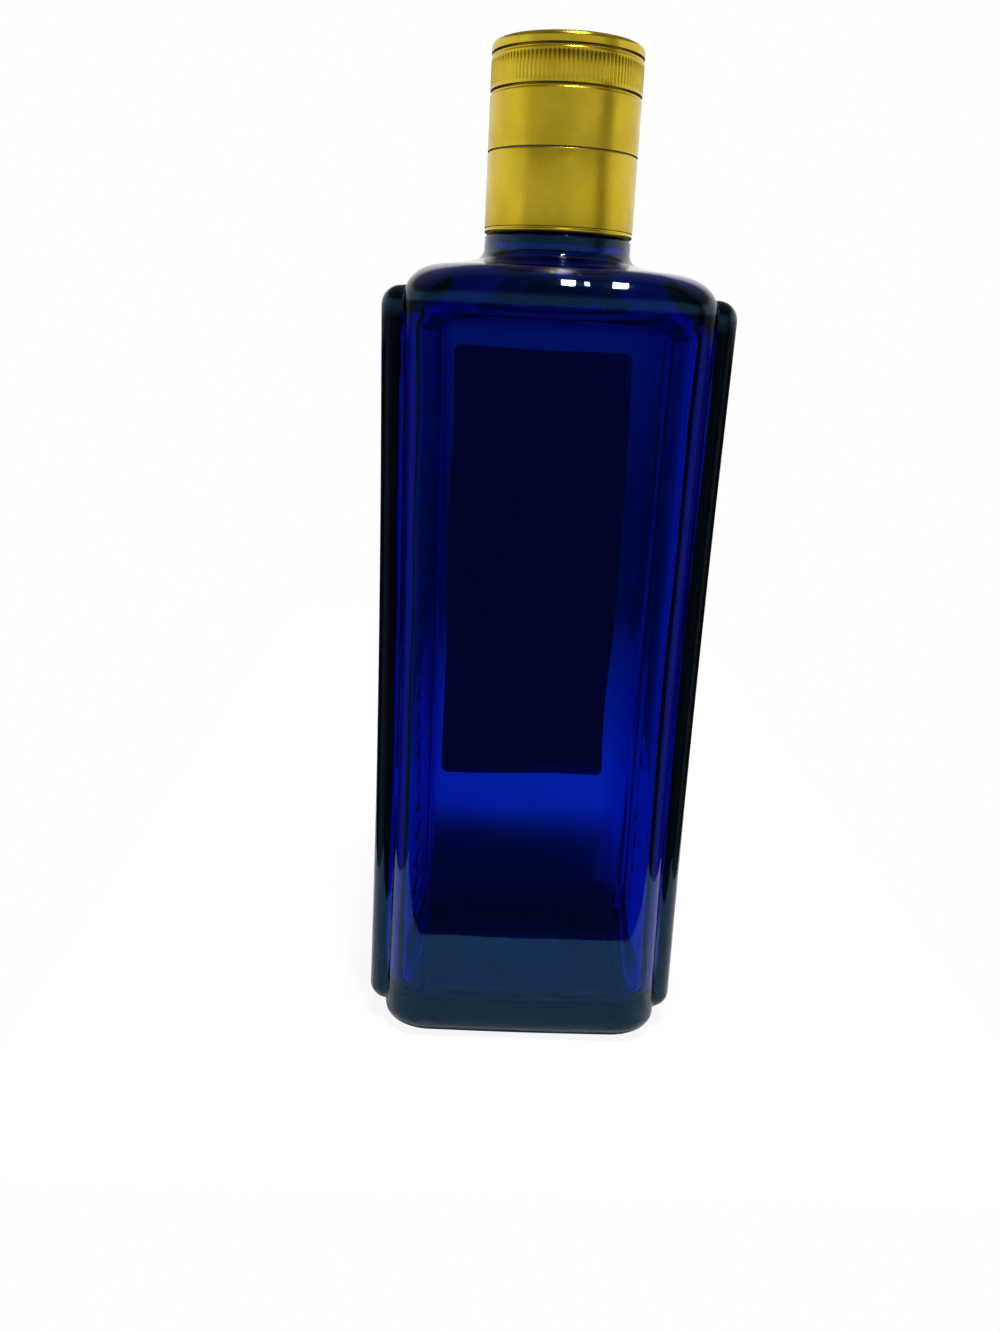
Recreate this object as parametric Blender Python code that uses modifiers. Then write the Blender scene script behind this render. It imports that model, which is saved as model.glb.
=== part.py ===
"""A square blue glass spirit bottle with raised side panels and a long gold pouring closure.

The bottle stands on z = 0 with its axis on +Z. The bare front face looks along -Y, the labelled face along +Y
and the raised side panels along -X and +X. All lengths are in metres.
"""

from math import atan2, cos, pi, radians, sin, sqrt, tan

import bmesh
import bpy
from mathutils import Matrix, Vector

# Running gap between pieces that touch
CLEARANCE = 0.0003
# How far a guide reaches into the piece that it is joined to
SINK = 0.0004

# Glass body
BODY_WIDTH = 0.0706
BODY_CORNER = 0.0090
WALL_TOP = 0.1831
WAIST = 0.0007
GLASS_WALL = 0.0032
HEEL_RADIUS = 0.0063
HEEL_ROUNDNESS_SHARE = 0.1
BEARING_WIDTH = 0.0040
PUSH_UP_HEIGHT = 0.0025
PUSH_UP_RADIUS = 0.0120
BASE_THICKNESS = 0.0075
INNER_CORNER = 0.0083
INNER_HEEL_RADIUS = 0.0075
SHOULDER_RADIUS = 0.0086
INNER_SHOULDER_RADIUS = 0.0130
SHOULDER_SLOPE = radians(11.5)
SHOULDER_POWER = 2.8
CORNER_GROWTH_SHARE = 1.2

# Raised side panels
PANEL_INSET = 0.0064
PANEL_PROUD = 0.0043
PANEL_FLARE = 0.0006
PANEL_START = 0.0060
PANEL_RISE = 0.0031
PANEL_EDGE = 0.0045
HOLLOW_WALL = 0.0038
HOLLOW_EDGE = 0.0060
HOLLOW_START = 0.0130
HOLLOW_DROP = 0.0016
LOZENGE_COUNT = 10
LOZENGE_START = 0.0130
LOZENGE_PITCH = 0.0080
LOZENGE_REACH = 0.0030
LOZENGE_SLANT = 0.0008
LOZENGE_PROUD = 0.0007

# Neck and glass finish
NECK_INSET = 0.00015
NECK_FILLET = 0.0030
NECK_LENGTH = 0.0028
NECK_EDGE = 0.0006
NECK_WALL = 0.0046
FINISH_WALL = 0.0041
FINISH_HEIGHT = 0.0170
BEAD_PROUD = 0.0011
BEAD_START = 0.0060
BEAD_HEIGHT = 0.0030
BORE_LENGTH = 0.0160
BORE_TAPER = 0.0030
LIP_EDGE = 0.0008

# Gold closure
CAP_RADIUS = 0.01775
SHEET = 0.0005
SLEEVE_HEIGHT = 0.0180
SLEEVE_EDGE = 0.0005
CURL_REACH = 0.0018
CAP_EDGE = 0.0012
GROOVE_DEPTH = 0.0004
GROOVE_WIDTH = 0.0012
GROOVE_DROP = 0.0030
KNURL_HEIGHT = 0.0080

# Pouring fitment
GASKET_THICKNESS = 0.0010
GASKET_MARGIN = 0.0004
PLATE_THICKNESS = 0.0015
SKIRT_WALL = 0.00205
THREADED_HEIGHT = 0.0156
THREADED_WALL = 0.0018
SPOUT_LIP = 0.0015
SPOUT_WALL = 0.0015
ARM_WIDTH = 0.0015
DEFLECTOR_SHARE = 0.48
DEFLECTOR_THICKNESS = 0.0015

# Screw thread of the cap
THREAD_PITCH = 0.0040
THREAD_TURNS = 1.25
THREAD_DEPTH = 0.0010
THREAD_ROOT = 0.0016
THREAD_CREST = 0.0008
THREAD_RUN_IN = 0.0036
THREAD_START = radians(3)

# Cap lining
LINER_THICKNESS = 0.0015
INSERT_WALL = 0.00225
CEILING_THICKNESS = 0.0016

# Non-return valve
HOUSING_DEPTH = 0.0195
HOUSING_FLANGE = 0.0010
HOUSING_PLAY = 0.0004
HOUSING_WALL = 0.0014
SEAT_THICKNESS = 0.0020
DISC_SHARE = 0.71
SEAT_SHARE = 0.58
STEM_SHARE = 0.67
DISC_THICKNESS = 0.0018
STEM_LENGTH = 0.0045
DISC_LIFT = 0.0030
BALL_SHARE = 0.63
BALL_LIFT = 0.0050

# Label on the far face
LABEL_WIDTH = 0.0500
LABEL_HEIGHT = 0.1253
LABEL_START = 0.0475
LABEL_THICKNESS = 0.0002

# How finely round shapes are drawn
FLAT_SHARES = (0.0, 1 / 3, 2 / 3)
SLOPE_SHARES = (1 / 3, 2 / 3, 1.0)
CORNER_STEPS = 4
WALL_STEPS = 6
ARC_STEPS = 3
ROUND_STEPS = 48
INNER_STEPS = 36
THREAD_STEPS_A_TURN = 24
BALL_RINGS = 10
BALL_SEGMENTS = 18
MERGE_DISTANCE = 0.00001

# Sizes that follow from the ones above
ROUND_PLACES = 4 * (2 * len(FLAT_SHARES) + CORNER_STEPS)
EVEN_DIRECTIONS = [2 * pi * place / ROUND_PLACES for place in range(ROUND_PLACES)]
SHEET_BORE = CAP_RADIUS - SHEET
SKIRT_RADIUS = SHEET_BORE - CLEARANCE
SKIRT_BORE = SKIRT_RADIUS - SKIRT_WALL
FINISH_RADIUS = SKIRT_BORE - CLEARANCE
BORE_RADIUS = FINISH_RADIUS - FINISH_WALL
NECK_RADIUS = CAP_RADIUS - NECK_INSET
INNER_NECK_RADIUS = NECK_RADIUS - NECK_WALL

HALF_WIDTH = BODY_WIDTH / 2
INNER_HALF = HALF_WIDTH - GLASS_WALL
PANEL_DEPTH = BODY_WIDTH - 2 * PANEL_INSET
PANEL_HEIGHT = WALL_TOP + PANEL_RISE - PANEL_START
HOLLOW_HEIGHT = WALL_TOP - HOLLOW_DROP - HOLLOW_START
ROLL_ANGLE = pi / 2 - SHOULDER_SLOPE
ROLL_CENTRE = HALF_WIDTH - SHOULDER_RADIUS
ROLL_END = ROLL_CENTRE + SHOULDER_RADIUS * cos(ROLL_ANGLE)
ROLL_END_Z = WALL_TOP + SHOULDER_RADIUS * sin(ROLL_ANGLE)
SHOULDER_FILL = INNER_SHOULDER_RADIUS - (SHOULDER_RADIUS - GLASS_WALL)
INNER_WALL_TOP = WALL_TOP - SHOULDER_FILL * (1 - cos(ROLL_ANGLE)) / sin(ROLL_ANGLE)
FILLET_CENTRE = NECK_RADIUS + NECK_FILLET
FILLET_START = FILLET_CENTRE - NECK_FILLET * sin(SHOULDER_SLOPE)
FILLET_START_Z = ROLL_END_Z + (ROLL_END - FILLET_START) * tan(SHOULDER_SLOPE)
FILLET_TOP_Z = FILLET_START_Z + NECK_FILLET * cos(SHOULDER_SLOPE)
LEDGE_Z = FILLET_TOP_Z + NECK_LENGTH
LIP_Z = LEDGE_Z + FINISH_HEIGHT
BORE_END_Z = LIP_Z - BORE_LENGTH

SLEEVE_Z = LEDGE_Z + CLEARANCE
SLEEVE_TOP_Z = SLEEVE_Z + SLEEVE_HEIGHT
SKIRT_Z = SLEEVE_Z + SHEET + CLEARANCE

GASKET_Z = LIP_Z + CLEARANCE
PLATE_Z = GASKET_Z + GASKET_THICKNESS + CLEARANCE
PLATE_TOP_Z = PLATE_Z + PLATE_THICKNESS
THREADED_TOP_Z = PLATE_TOP_Z + THREADED_HEIGHT
INSERT_RADIUS = SHEET_BORE - GROOVE_DEPTH - CLEARANCE
INSERT_BORE = INSERT_RADIUS - INSERT_WALL
THREAD_CORE = INSERT_BORE - CLEARANCE - THREAD_DEPTH
SPOUT_BORE = THREAD_CORE - THREADED_WALL
SPOUT_RADIUS = SPOUT_BORE - CLEARANCE
DEFLECTOR_RADIUS = DEFLECTOR_SHARE * (SPOUT_RADIUS - SPOUT_WALL)
SPOUT_LIP_Z = THREADED_TOP_Z + CLEARANCE
SPOUT_TOP_Z = SPOUT_LIP_Z + SPOUT_LIP

CAP_Z = SLEEVE_TOP_Z + CLEARANCE
LINER_Z = SPOUT_TOP_Z + CLEARANCE
CEILING_Z = LINER_Z + LINER_THICKNESS + CLEARANCE
INSERT_TOP_Z = CEILING_Z + CEILING_THICKNESS
INSERT_Z = PLATE_TOP_Z + 2 * CLEARANCE
CAP_TOP_Z = INSERT_TOP_Z + CLEARANCE + SHEET

HOUSING_RADIUS = BORE_RADIUS - HOUSING_PLAY
PLATE_BORE = HOUSING_RADIUS + CLEARANCE
HOUSING_BORE = HOUSING_RADIUS - HOUSING_WALL
DISC_RADIUS = DISC_SHARE * HOUSING_BORE
SEAT_BORE = SEAT_SHARE * DISC_RADIUS
STEM_RADIUS = STEM_SHARE * SEAT_BORE
BALL_RADIUS = BALL_SHARE * HOUSING_BORE
HOUSING_FLANGE_Z = PLATE_TOP_Z + CLEARANCE
HOUSING_TOP_Z = HOUSING_FLANGE_Z + HOUSING_FLANGE
HOUSING_Z = PLATE_TOP_Z - HOUSING_DEPTH
SEAT_Z = HOUSING_Z + SEAT_THICKNESS
DISC_Z = SEAT_Z + CLEARANCE
DISC_TOP_Z = DISC_Z + DISC_THICKNESS
BALL_Z = DISC_TOP_Z + CLEARANCE + BALL_RADIUS
DEFLECTOR_Z = BALL_Z + BALL_RADIUS + DISC_LIFT + BALL_LIFT + CLEARANCE
SPOUT_Z = HOUSING_TOP_Z + CLEARANCE


def finish(name, colour, roughness, metallic=0.0, transmission=0.0):
    """The material of one kind of piece."""
    material = bpy.data.materials.new(name)
    material.use_nodes = True
    shader = material.node_tree.nodes["Principled BSDF"]
    shader.inputs["Base Color"].default_value = (*colour, 1)
    shader.inputs["Roughness"].default_value = roughness
    shader.inputs["Metallic"].default_value = metallic
    shader.inputs["Transmission Weight"].default_value = transmission
    return material


def new_object(name, mesh, material, collection):
    """An object of that mesh, linked to its collection."""
    made = bpy.data.objects.new(name, mesh)
    made.data.materials.append(material)
    collection.objects.link(made)
    return made


def smooth(mesh, crease=radians(35)):
    """Shades a round piece smooth and keeps its real edges sharp."""
    mesh.shade_smooth()
    mesh.set_sharp_from_angle(angle=crease)


def arc(centre, radius, start, end, steps):
    """Points (across, up) on an arc about centre, both ends included."""
    across, up = centre
    angles = [start + (end - start) * step / steps for step in range(steps + 1)]
    return [(across + radius * cos(angle), up + radius * sin(angle)) for angle in angles]


def turned(name, profile, steps, material, collection, loop=True):
    """A turned piece: a profile of (radius, height) points, down the outside and up the inside, with a Screw.

    With loop off, the profile starts and ends on the axis.
    """
    bm = bmesh.new()
    points = [bm.verts.new((across, 0, up)) for across, up in profile]
    for first, second in zip(points, points[1:]):
        bm.edges.new((first, second))
    if loop:
        bm.edges.new((points[-1], points[0]))
    mesh = bpy.data.meshes.new(name)
    bm.to_mesh(mesh)
    bm.free()
    piece = new_object(name, mesh, material, collection)
    screw = piece.modifiers.new("turn", "SCREW")
    screw.axis = "Z"
    screw.steps = steps
    screw.render_steps = steps
    screw.use_merge_vertices = True
    screw.merge_threshold = MERGE_DISTANCE
    screw.use_smooth_shade = True
    return piece


def guide(piece):
    """Marks an object that only cuts or joins another one."""
    piece.hide_render = True
    piece.display_type = "WIRE"
    return piece


def join(piece, other):
    """Joins a guide to a piece, as one body."""
    union = piece.modifiers.new("join " + other.name, "BOOLEAN")
    union.operation = "UNION"
    union.solver = "EXACT"
    union.object = other


def cut(piece, other):
    """Cuts a guide out of a piece."""
    difference = piece.modifiers.new("cut " + other.name, "BOOLEAN")
    difference.operation = "DIFFERENCE"
    difference.solver = "EXACT"
    difference.object = other


def waist_at(height):
    """How far a wall bows in at that height."""
    share = (height - HEEL_RADIUS) / (WALL_TOP - HEEL_RADIUS)
    return WAIST * sin(pi * share) if 0 < share < 1 else 0.0


def square_directions(half, corner):
    """Directions from the axis to the points that draw a rounded square, anticlockwise from +X."""
    flat = half - corner
    quarter = [(half, share * flat) for share in FLAT_SHARES]
    quarter += arc((flat, flat), corner, 0, pi / 2, CORNER_STEPS)
    quarter += [(share * flat, half) for share in reversed(FLAT_SHARES[1:])]
    return [side * pi / 2 + atan2(along, across) for side in range(4) for across, along in quarter]


def reach(direction, half, corner):
    """How far a rounded square reaches from the axis in that direction."""
    corner = min(corner, half)
    flat = half - corner
    shorter, longer = sorted((abs(cos(direction)), abs(sin(direction))))
    if half * shorter <= flat * longer:
        return half / longer
    return flat * (longer + shorter) + sqrt(corner**2 - (flat * (longer - shorter)) ** 2)


def section(half, height, corner, directions, roundness=0.0):
    """One level of the glass, from a rounded square at roundness 0 to a circle at 1."""
    points = []
    for direction in directions:
        radius = (1 - roundness) * reach(direction, half, corner) + roundness * half
        points.append(Vector((radius * cos(direction), radius * sin(direction), height)))
    return points


def ring(radius, height):
    """One round level of the glass, with evenly spaced points."""
    return section(radius, height, radius, EVEN_DIRECTIONS, 1)


def shoulder_section(half, height, wall, neck, corner, directions):
    """One level of the shoulder, where the square of the walls turns into the circle of the neck."""
    share = max(wall - half, 0) / (wall - neck)
    spread = [(1 - share) * direction + share * even for direction, even in zip(directions, EVEN_DIRECTIONS)]
    corner += CORNER_GROWTH_SHARE * (wall - half)
    return section(half, height, corner, spread, share**SHOULDER_POWER)


def wall_heights(start, end=WALL_TOP):
    """Levels at which the walls are drawn, between their ends."""
    return [start + (end - start) * step / WALL_STEPS for step in range(1, WALL_STEPS)]


def outer_levels():
    """Sections of the outside, from the middle of the base up to the lip."""
    directions = square_directions(HALF_WIDTH, BODY_CORNER)
    heel_centre = HALF_WIDTH - HEEL_RADIUS
    levels = [
        section(PUSH_UP_RADIUS, PUSH_UP_HEIGHT, PUSH_UP_RADIUS, directions, 1),
        section(heel_centre - BEARING_WIDTH, 0, BODY_CORNER, directions, HEEL_ROUNDNESS_SHARE),
    ]
    for half, height in arc((heel_centre, HEEL_RADIUS), HEEL_RADIUS, -pi / 2, 0, ARC_STEPS + 1):
        roundness = HEEL_ROUNDNESS_SHARE * (HALF_WIDTH - half) / HEEL_RADIUS
        levels.append(section(half, height, BODY_CORNER, directions, roundness))
    for height in wall_heights(HEEL_RADIUS):
        levels.append(section(HALF_WIDTH - waist_at(height), height, BODY_CORNER, directions))
    shoulder = arc((ROLL_CENTRE, WALL_TOP), SHOULDER_RADIUS, 0, ROLL_ANGLE, ARC_STEPS + 1)
    for share in SLOPE_SHARES:
        half = ROLL_END + share * (FILLET_START - ROLL_END)
        shoulder.append((half, ROLL_END_Z + share * (FILLET_START_Z - ROLL_END_Z)))
    for half, height in shoulder:
        levels.append(shoulder_section(half, height, HALF_WIDTH, FILLET_START, BODY_CORNER, directions))
    fillet = arc((FILLET_CENTRE, FILLET_TOP_Z), NECK_FILLET, -pi / 2 - SHOULDER_SLOPE, -pi, ARC_STEPS)
    finish_line = fillet[1:] + [
        (NECK_RADIUS, LEDGE_Z - NECK_EDGE),
        (NECK_RADIUS - NECK_EDGE, LEDGE_Z),
        (FINISH_RADIUS, LEDGE_Z),
        (FINISH_RADIUS, LEDGE_Z + BEAD_START - BEAD_PROUD),
        (FINISH_RADIUS + BEAD_PROUD, LEDGE_Z + BEAD_START),
        (FINISH_RADIUS + BEAD_PROUD, LEDGE_Z + BEAD_START + BEAD_HEIGHT),
        (FINISH_RADIUS, LEDGE_Z + BEAD_START + BEAD_HEIGHT + BEAD_PROUD),
        (FINISH_RADIUS, LIP_Z - LIP_EDGE),
        (FINISH_RADIUS - LIP_EDGE, LIP_Z),
    ]
    return levels + [ring(radius, height) for radius, height in finish_line]


def inner_levels():
    """Sections of the cavity, from the lip down to the middle of its floor."""
    directions = square_directions(INNER_HALF, INNER_CORNER)
    roll_centre = (INNER_HALF - INNER_SHOULDER_RADIUS, INNER_WALL_TOP)
    roll = arc(roll_centre, INNER_SHOULDER_RADIUS, ROLL_ANGLE, 0, ARC_STEPS + 1)
    roll_end, roll_end_z = roll[0]
    neck_z = roll_end_z + (roll_end - INNER_NECK_RADIUS) * tan(SHOULDER_SLOPE)
    bore = [
        (BORE_RADIUS + LIP_EDGE, LIP_Z),
        (BORE_RADIUS, LIP_Z - LIP_EDGE),
        (BORE_RADIUS, BORE_END_Z),
        (INNER_NECK_RADIUS, BORE_END_Z - BORE_TAPER),
    ]
    levels = [ring(radius, height) for radius, height in bore]
    shoulder = []
    for share in reversed(SLOPE_SHARES):
        half = roll_end + share * (INNER_NECK_RADIUS - roll_end)
        shoulder.append((half, roll_end_z + share * (neck_z - roll_end_z)))
    for half, height in shoulder + roll:
        level = shoulder_section(half, height, INNER_HALF, INNER_NECK_RADIUS, INNER_CORNER, directions)
        levels.append(level)
    heel_top = BASE_THICKNESS + INNER_HEEL_RADIUS
    for height in reversed(wall_heights(heel_top, INNER_WALL_TOP)):
        levels.append(section(INNER_HALF - waist_at(height), height, INNER_CORNER, directions))
    floor_half = INNER_HALF - INNER_HEEL_RADIUS
    for half, height in arc((floor_half, heel_top), INNER_HEEL_RADIUS, 0, -pi / 2, ARC_STEPS):
        levels.append(section(half - waist_at(height), height, INNER_CORNER, directions))
    return levels


def pad(inner, outer, depth, start, height, edge_radius, rows):
    """A slab that looks along +X, with rounded edges round its outer face and cut into rows."""
    bm = bmesh.new()
    bmesh.ops.create_cube(bm, size=1)
    bmesh.ops.scale(bm, vec=(outer - inner, depth, height), verts=bm.verts)
    centre = Vector(((outer + inner) / 2, 0, start + height / 2))
    bmesh.ops.translate(bm, vec=centre, verts=bm.verts)
    rim = [edge for edge in bm.edges if any(vert.co.x > centre.x for vert in edge.verts)]
    bmesh.ops.bevel(
        bm, geom=rim, offset=edge_radius, segments=ARC_STEPS, profile=0.5, affect="EDGES", material=-1
    )
    for row in rows:
        geometry = bm.verts[:] + bm.edges[:] + bm.faces[:]
        bmesh.ops.bisect_plane(bm, geom=geometry, plane_co=(0, 0, row), plane_no=(0, 0, 1))
    return bm


def side_guide(name, bm, turn, material, collection):
    """Bows a slab as the side of the body bows, turns it to its side and makes it a guide."""
    for vert in bm.verts:
        vert.co.x += PANEL_FLARE * (vert.co.z - PANEL_START) / PANEL_HEIGHT - waist_at(vert.co.z)
    bmesh.ops.rotate(bm, cent=(0, 0, 0), matrix=Matrix.Rotation(turn, 3, "Z"), verts=bm.verts)
    mesh = bpy.data.meshes.new(name)
    bm.to_mesh(mesh)
    bm.free()
    return guide(new_object(name, mesh, material, collection))


def side_panel(name, turn, material, collection):
    """One raised side panel: a pad with a column of lozenges on its lower half."""
    inner = HALF_WIDTH - GLASS_WALL / 2
    outer = HALF_WIDTH + PANEL_PROUD
    rows = [PANEL_START + LOZENGE_START + place * LOZENGE_PITCH for place in range(LOZENGE_COUNT)]
    wall_rows = [level for level in wall_heights(HEEL_RADIUS) if level > rows[-1] + LOZENGE_REACH]
    bm = pad(inner, outer, PANEL_DEPTH, PANEL_START, PANEL_HEIGHT, PANEL_EDGE, rows + wall_rows)
    geometry = bm.verts[:] + bm.edges[:] + bm.faces[:]
    bmesh.ops.bisect_plane(bm, geom=geometry, plane_co=(0, 0, 0), plane_no=(0, 1, 0))
    middles = [
        vert
        for vert in bm.verts
        if abs(vert.co.x - outer) < MERGE_DISTANCE
        and abs(vert.co.y) < MERGE_DISTANCE
        and any(abs(vert.co.z - row) < MERGE_DISTANCE for row in rows)
    ]
    lozenges = bmesh.ops.bevel(
        bm, geom=middles, offset=LOZENGE_REACH, segments=1, profile=0.5, affect="VERTICES", material=-1
    )
    bmesh.ops.inset_individual(bm, faces=lozenges["faces"], thickness=LOZENGE_SLANT, depth=LOZENGE_PROUD)
    return side_guide(name, bm, turn, material, collection)


def panel_hollow(name, turn, material, collection):
    """The hollow behind one side panel, where the wall follows the mould."""
    outer = HALF_WIDTH + PANEL_PROUD - HOLLOW_WALL
    inner = INNER_HALF - 2 * HOLLOW_EDGE
    depth = PANEL_DEPTH - 2 * HOLLOW_WALL
    bm = pad(inner, outer, depth, HOLLOW_START, HOLLOW_HEIGHT, HOLLOW_EDGE, wall_heights(HEEL_RADIUS))
    return side_guide(name, bm, turn, material, collection)


def glass_bottle(material, parts, guides):
    """The moulded body: outside and cavity as one loft between unlike sections, with hollow side panels joined on."""
    bm = bmesh.new()
    levels = [[bm.verts.new(point) for point in level] for level in outer_levels() + inner_levels()]
    for lower, upper in zip(levels, levels[1:]):
        for place in range(len(lower)):
            bm.faces.new((lower[place - 1], lower[place], upper[place], upper[place - 1]))
    bm.faces.new(levels[0])
    bm.faces.new(levels[-1])
    bmesh.ops.recalc_face_normals(bm, faces=bm.faces)
    mesh = bpy.data.meshes.new("glass_bottle")
    bm.to_mesh(mesh)
    bm.free()
    smooth(mesh)
    bottle = new_object("glass_bottle", mesh, material, parts)
    for name, turn in (("right_panel_guide", 0), ("left_panel_guide", pi)):
        join(bottle, side_panel(name, turn, material, guides))
    for name, turn in (("right_hollow_guide", 0), ("left_hollow_guide", pi)):
        cut(bottle, panel_hollow(name, turn, material, guides))
    return bottle


def thread_ridge(name, inner, outer, start, crest_outside, material, collection):
    """A helical thread ridge, swept up from a trapezoid; its crest is its outer or its inner edge."""
    inner_width, outer_width = (THREAD_ROOT, THREAD_CREST) if crest_outside else (THREAD_CREST, THREAD_ROOT)
    corners = [
        (inner, 0, start - inner_width / 2),
        (outer, 0, start - outer_width / 2),
        (outer, 0, start + outer_width / 2),
        (inner, 0, start + inner_width / 2),
    ]
    bm = bmesh.new()
    steps = round(THREAD_TURNS * THREAD_STEPS_A_TURN)
    rings = []
    for step in range(steps + 1):
        turn = Matrix.Rotation(THREAD_START + 2 * pi * THREAD_TURNS * step / steps, 3, "Z")
        rise = Vector((0, 0, THREAD_PITCH * THREAD_TURNS * step / steps))
        rings.append([bm.verts.new(turn @ Vector(corner) + rise) for corner in corners])
    for before, after in zip(rings, rings[1:]):
        for place in range(len(corners)):
            bm.faces.new((before[place - 1], before[place], after[place], after[place - 1]))
    bm.faces.new(rings[0])
    bm.faces.new(rings[-1])
    bmesh.ops.recalc_face_normals(bm, faces=bm.faces)
    mesh = bpy.data.meshes.new(name)
    bm.to_mesh(mesh)
    bm.free()
    return guide(new_object(name, mesh, material, collection))


def lower_sleeve(material, parts):
    """The fixed lower skirt of the closure; its curled edge is held between the glass ledge and the fitment."""
    curl = arc((CAP_RADIUS - SLEEVE_EDGE, SLEEVE_Z + SLEEVE_EDGE), SLEEVE_EDGE, 0, -pi / 2, ARC_STEPS)
    profile = [(CAP_RADIUS, SLEEVE_TOP_Z)] + curl
    profile += [
        (SHEET_BORE - CURL_REACH, SLEEVE_Z),
        (SHEET_BORE - CURL_REACH, SLEEVE_Z + SHEET),
        (SHEET_BORE, SLEEVE_Z + SHEET),
        (SHEET_BORE, SLEEVE_TOP_Z),
    ]
    return turned("lower_sleeve", profile, ROUND_STEPS, material, parts)


def groove(radius, height, side):
    """A rolled groove in the cap's sheet, from its upper edge down, or up on the inside."""
    half = side * GROOVE_WIDTH / 2
    return [
        (radius, height + half),
        (radius - GROOVE_DEPTH, height + half / 2),
        (radius - GROOVE_DEPTH, height - half / 2),
        (radius, height - half),
    ]


def cap_shell(material, parts):
    """The gold shell of the screw cap, with a rolled groove above and below the grip band."""
    upper = CAP_TOP_Z - GROOVE_DROP
    lower = upper - KNURL_HEIGHT
    edge = arc((CAP_RADIUS - CAP_EDGE, CAP_TOP_Z - CAP_EDGE), CAP_EDGE, pi / 2, 0, ARC_STEPS)
    profile = [(0, CAP_TOP_Z)] + edge + groove(CAP_RADIUS, upper, 1) + groove(CAP_RADIUS, lower, 1)
    profile += [(CAP_RADIUS, CAP_Z), (SHEET_BORE, CAP_Z)]
    profile += groove(SHEET_BORE, lower, -1) + groove(SHEET_BORE, upper, -1)
    profile += [(SHEET_BORE, CAP_TOP_Z - CAP_EDGE), (INSERT_RADIUS, CAP_TOP_Z - SHEET), (0, CAP_TOP_Z - SHEET)]
    return turned("cap_shell", profile, ROUND_STEPS, material, parts, loop=False)


def cap_insert(material, parts, guides):
    """The threaded plastic lining of the cap."""
    chamfer = CAP_EDGE
    profile = [
        (0, INSERT_TOP_Z),
        (INSERT_RADIUS - chamfer, INSERT_TOP_Z),
        (INSERT_RADIUS, INSERT_TOP_Z - chamfer),
        (INSERT_RADIUS, INSERT_Z),
        (INSERT_BORE, INSERT_Z),
        (INSERT_BORE, CEILING_Z),
        (0, CEILING_Z),
    ]
    insert = turned("cap_insert", profile, ROUND_STEPS, material, parts, loop=False)
    ridge_z = PLATE_TOP_Z + THREAD_RUN_IN - THREAD_PITCH / 2 + THREAD_ROOT / 2
    crest = THREAD_CORE + CLEARANCE
    join(insert, thread_ridge("cap_thread_guide", crest, INSERT_BORE + SINK, ridge_z, False, material, guides))
    return insert


def cap_liner(material, parts):
    """The sealing wad that the cap presses on the spout."""
    radius = INSERT_BORE - CLEARANCE
    profile = [(0, LINER_Z + LINER_THICKNESS), (radius, LINER_Z + LINER_THICKNESS), (radius, LINER_Z), (0, LINER_Z)]
    return turned("cap_liner", profile, INNER_STEPS, material, parts, loop=False)


def mouth_gasket(material, parts):
    """The washer between the glass lip and the fitment's plate."""
    outer = FINISH_RADIUS - GASKET_MARGIN
    inner = BORE_RADIUS + GASKET_MARGIN
    top = GASKET_Z + GASKET_THICKNESS
    profile = [(outer, top), (outer, GASKET_Z), (inner, GASKET_Z), (inner, top)]
    return turned("mouth_gasket", profile, INNER_STEPS, material, parts)


def pourer_body(material, parts, guides):
    """The fitment: a skirt that snaps over the glass bead, a plate on the lip and the threaded tube."""
    bead_z = LEDGE_Z + BEAD_START
    bead_top_z = bead_z + BEAD_HEIGHT
    bead_bore = SKIRT_BORE + BEAD_PROUD
    profile = [
        (THREAD_CORE, THREADED_TOP_Z),
        (THREAD_CORE, PLATE_TOP_Z),
        (SKIRT_RADIUS, PLATE_TOP_Z),
        (SKIRT_RADIUS, SKIRT_Z),
        (SKIRT_BORE, SKIRT_Z),
        (SKIRT_BORE, bead_z - BEAD_PROUD - CLEARANCE),
        (bead_bore, bead_z - CLEARANCE),
        (bead_bore, bead_top_z + CLEARANCE),
        (SKIRT_BORE, bead_top_z + BEAD_PROUD + CLEARANCE),
        (SKIRT_BORE, PLATE_Z),
        (PLATE_BORE, PLATE_Z),
        (PLATE_BORE, PLATE_TOP_Z),
        (SPOUT_BORE, PLATE_TOP_Z),
        (SPOUT_BORE, THREADED_TOP_Z),
    ]
    body = turned("pourer_body", profile, ROUND_STEPS, material, parts)
    ridge_z = PLATE_TOP_Z + THREAD_RUN_IN + THREAD_ROOT / 2
    crest = THREAD_CORE + THREAD_DEPTH
    join(body, thread_ridge("pourer_thread_guide", THREAD_CORE - SINK, crest, ridge_z, True, material, guides))
    return body


def valve_housing(material, parts):
    """The tube in the neck: a flange at the top and the valve seat at the bottom."""
    profile = [
        (SPOUT_RADIUS, HOUSING_TOP_Z),
        (SPOUT_RADIUS, HOUSING_FLANGE_Z),
        (HOUSING_RADIUS, HOUSING_FLANGE_Z),
        (HOUSING_RADIUS, HOUSING_Z),
        (SEAT_BORE, HOUSING_Z),
        (SEAT_BORE, SEAT_Z),
        (HOUSING_BORE, SEAT_Z),
        (HOUSING_BORE, HOUSING_TOP_Z),
    ]
    return turned("valve_housing", profile, INNER_STEPS, material, parts)


def valve_disc(material, parts):
    """The disc on the seat with its guiding stem."""
    profile = [
        (0, DISC_TOP_Z),
        (DISC_RADIUS, DISC_TOP_Z),
        (DISC_RADIUS, DISC_Z),
        (STEM_RADIUS, DISC_Z),
        (STEM_RADIUS, DISC_Z - STEM_LENGTH),
        (0, DISC_Z - STEM_LENGTH),
    ]
    return turned("valve_disc", profile, INNER_STEPS, material, parts, loop=False)


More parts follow.
